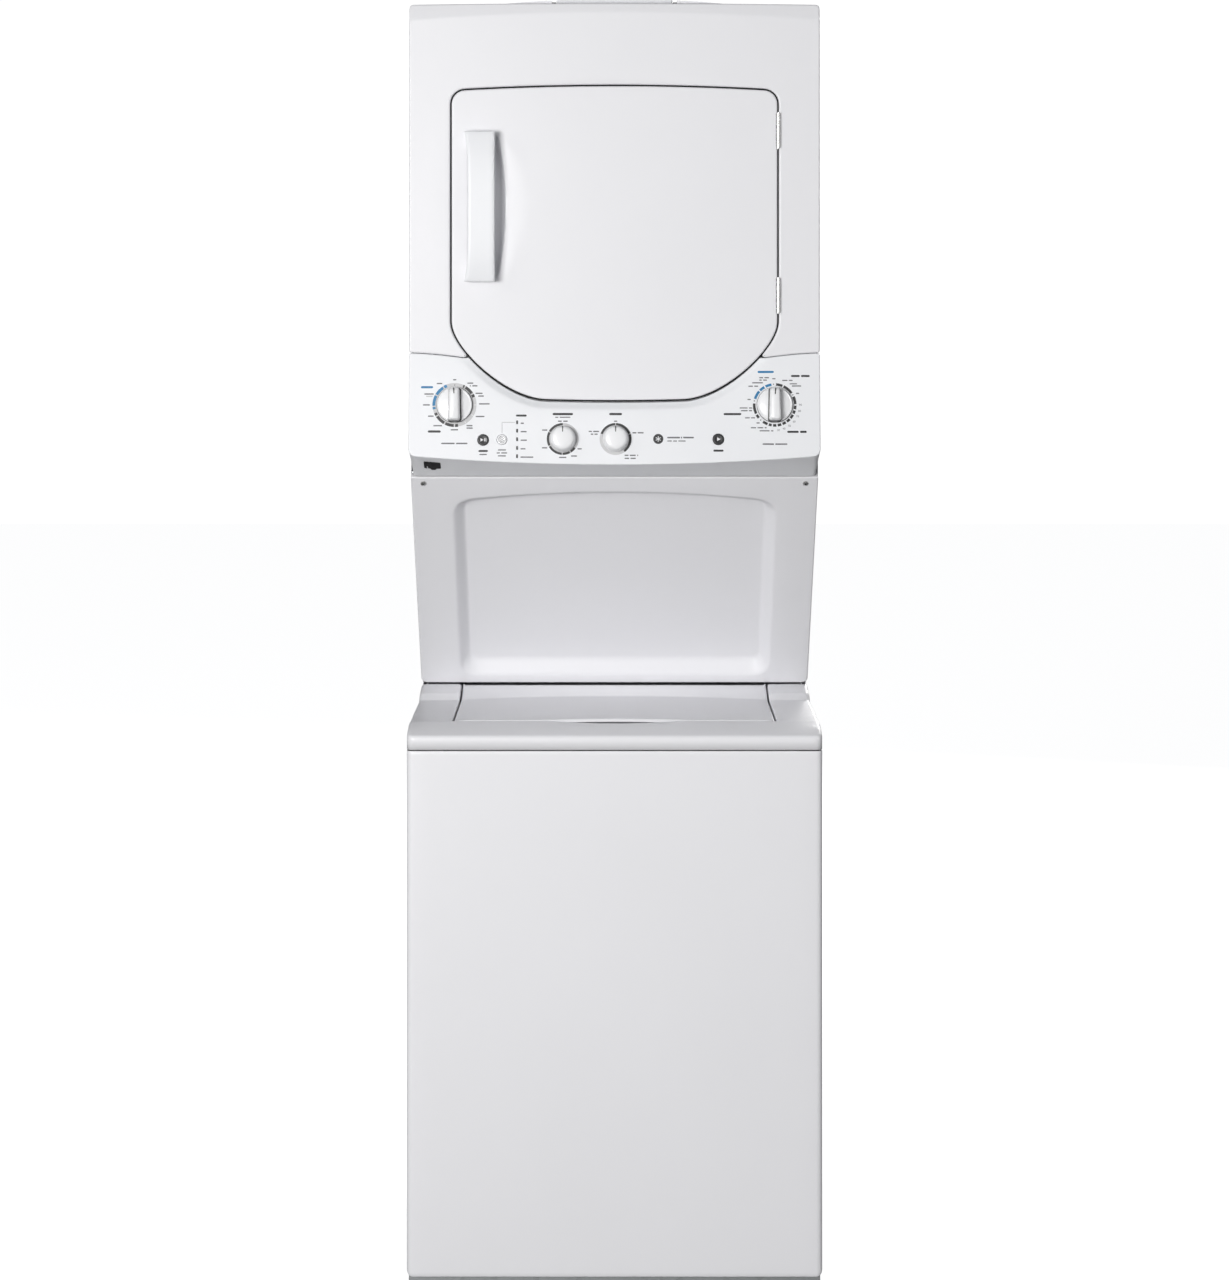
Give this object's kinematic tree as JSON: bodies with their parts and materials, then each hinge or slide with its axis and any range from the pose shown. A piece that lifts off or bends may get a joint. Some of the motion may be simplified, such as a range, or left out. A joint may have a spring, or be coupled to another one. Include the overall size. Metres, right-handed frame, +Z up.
{
  "type": "washer dryer stack",
  "caption": "One-piece laundry centre: top-load washer under a front-door dryer on a slanted stand, with knob controls, agitator basket, tumbling drum and leveling feet.",
  "frame": {"origin": "on the floor under the middle of the bounding box", "axes": "+Z up, front faces -Y, +X to the right seen from the front; the dryer door hinges on the +X side"},
  "size_m": [0.603, 0.69, 1.91],
  "materials": {
    "white_enamel": "glossy baked enamel",
    "white_plastic": "satin moulded plastic",
    "tub_plastic": "matt polypropylene",
    "grey_plastic": "matt moulded plastic",
    "black_plastic": "satin moulded plastic",
    "galvanised_steel": "zinc spangle",
    "motor_steel": "satin grey paint on steel",
    "bright_steel": "fine brushed",
    "foot_rubber": "matt rubber",
    "belt_rubber": "ribbed matt rubber",
    "felt": "pressed felt"
  },
  "bodies": {
    "cabinet": {"washer_cabinet": "white_enamel", "washer_front_panel": "white_enamel", "washer_top_cover": "white_enamel", "stand_frame": "white_enamel", "dryer_cabinet": "white_enamel", "dryer_front_panel": "white_enamel", "front_bulkhead": "white_enamel", "backsplash_panel": "white_enamel", "control_fascia": "white_plastic", "outer_tub": "tub_plastic", "drain_pump": "grey_plastic", "water_inlet_valve": "grey_plastic", "blower_housing": "grey_plastic", "control_board": "black_plastic", "base_frame": "galvanised_steel", "dryer_base": "galvanised_steel", "dryer_rear_panel": "galvanised_steel", "air_duct": "galvanised_steel", "exhaust_duct": "galvanised_steel", "heater_pan": "galvanised_steel", "terminal_cover": "galvanised_steel", "rear_bearing": "galvanised_steel", "gearcase": "motor_steel", "washer_motor": "motor_steel", "dryer_motor": "motor_steel", "door_hinge_upper": "bright_steel", "door_hinge_lower": "bright_steel", "suspension_rod_front_left": "bright_steel", "suspension_rod_front_right": "bright_steel", "suspension_rod_rear_left": "bright_steel", "suspension_rod_rear_right": "bright_steel", "drum_belt": "belt_rubber", "washer_belt": "belt_rubber"},
    "dryer_door": {"door_outer": "white_enamel", "door_inner": "white_enamel", "door_seal": "felt", "door_handle": "white_plastic", "door_hinge_leaf_upper": "bright_steel", "door_hinge_leaf_lower": "bright_steel"},
    "lid": {"washer_lid": "white_enamel"},
    "drum": {"dryer_drum": "white_enamel"},
    "motor_rotor": {"motor_shaft": "bright_steel", "blower_wheel": "grey_plastic"},
    "basket": {"wash_basket": "bright_steel", "balance_ring": "white_plastic", "basket_pulley": "motor_steel"},
    "agitator_body": {"agitator": "white_plastic"},
    "washer_rotor": {"washer_motor_pulley": "motor_steel"},
    "lint_drawer": {"lint_filter": "white_plastic"},
    "knob_washer_cycle": {"washer_cycle_knob": "white_plastic"},
    "knob_dryer_cycle": {"dryer_cycle_knob": "white_plastic"},
    "knob_temperature": {"temperature_knob": "white_plastic"},
    "knob_options": {"options_knob": "white_plastic"},
    "button_start": {"start_button": "black_plastic"},
    "button_rinse": {"rinse_button": "white_plastic"},
    "button_dryer_start": {"dryer_start_button": "black_plastic"},
    "foot_front_left": {"leveling_foot_front_left": "foot_rubber"},
    "foot_front_right": {"leveling_foot_front_right": "foot_rubber"},
    "foot_rear_left": {"leveling_foot_rear_left": "foot_rubber"},
    "foot_rear_right": {"leveling_foot_rear_right": "foot_rubber"}
  },
  "joints": [
    {"name": "dryer_door_hinge", "type": "hinge", "parent": "cabinet", "child": "dryer_door", "pos_m": [0.2403, -0.282, 1.6], "axis": [0, 0, 1], "range_deg": [0, 110]},
    {"name": "lid_hinge", "type": "hinge", "parent": "cabinet", "child": "lid", "pos_m": [0, 0.03, 0.85], "axis": [-1, 0, 0], "range_deg": [0, 46]},
    {"name": "drum_spin", "type": "hinge", "parent": "cabinet", "child": "drum", "pos_m": [0, 0, 1.6], "axis": [0, 1, 0], "continuous": true},
    {"name": "motor_spin", "type": "hinge", "parent": "cabinet", "child": "motor_rotor", "pos_m": [0.15, 0, 1.284], "axis": [0, 1, 0], "continuous": true},
    {"name": "basket_spin", "type": "hinge", "parent": "cabinet", "child": "basket", "pos_m": [0, -0.055, 0.4], "axis": [0, 0, 1], "continuous": true},
    {"name": "agitator_turn", "type": "hinge", "parent": "basket", "child": "agitator_body", "pos_m": [0, -0.055, 0.4], "axis": [0, 0, 1], "range_deg": [-105, 105]},
    {"name": "washer_motor_spin", "type": "hinge", "parent": "cabinet", "child": "washer_rotor", "pos_m": [0.113, -0.168, 0.09], "axis": [0, 0, 1], "continuous": true},
    {"name": "lint_filter_lift", "type": "slide", "parent": "cabinet", "child": "lint_drawer", "axis": [0, 0, 1], "range_m": [0, 0.13]},
    {"name": "washer_cycle_turn", "type": "hinge", "parent": "cabinet", "child": "knob_washer_cycle", "pos_m": [-0.2343, -0.29107, 1.3125], "axis": [0, -0.9914, 0.1305], "continuous": true},
    {"name": "dryer_cycle_turn", "type": "hinge", "parent": "cabinet", "child": "knob_dryer_cycle", "pos_m": [0.2347, -0.29107, 1.3125], "axis": [0, -0.9914, 0.1305], "continuous": true},
    {"name": "temperature_turn", "type": "hinge", "parent": "cabinet", "child": "knob_temperature", "pos_m": [-0.0757, -0.29759, 1.263], "axis": [0, -0.9914, 0.1305], "range_deg": [0, 240]},
    {"name": "options_turn", "type": "hinge", "parent": "cabinet", "child": "knob_options", "pos_m": [0.0016, -0.29759, 1.263], "axis": [0, -0.9914, 0.1305], "range_deg": [0, 270]},
    {"name": "start_press", "type": "slide", "parent": "cabinet", "child": "button_start", "axis": [0, 0.9914, -0.1305], "range_m": [0, 0.002], "stiffness_N_per_m": 600},
    {"name": "rinse_press", "type": "slide", "parent": "cabinet", "child": "button_rinse", "axis": [0, 0.9914, -0.1305], "range_m": [0, 0.002], "stiffness_N_per_m": 600},
    {"name": "dryer_start_press", "type": "slide", "parent": "cabinet", "child": "button_dryer_start", "axis": [0, 0.9914, -0.1305], "range_m": [0, 0.002], "stiffness_N_per_m": 600},
    {"name": "foot_front_left_turn", "type": "hinge", "parent": "cabinet", "child": "foot_front_left", "pos_m": [-0.262, -0.3, 0.03], "axis": [0, 0, 1], "continuous": true},
    {"name": "foot_front_right_turn", "type": "hinge", "parent": "cabinet", "child": "foot_front_right", "pos_m": [0.262, -0.3, 0.03], "axis": [0, 0, 1], "continuous": true},
    {"name": "foot_rear_left_turn", "type": "hinge", "parent": "cabinet", "child": "foot_rear_left", "pos_m": [-0.262, 0.28, 0.03], "axis": [0, 0, 1], "continuous": true},
    {"name": "foot_rear_right_turn", "type": "hinge", "parent": "cabinet", "child": "foot_rear_right", "pos_m": [0.262, 0.28, 0.03], "axis": [0, 0, 1], "continuous": true}
  ],
  "couplings": [
    {"joint": "motor_spin", "follows": "drum_spin", "ratio": 22.917},
    {"joint": "washer_motor_spin", "follows": "basket_spin", "ratio": 3.1818}
  ]
}
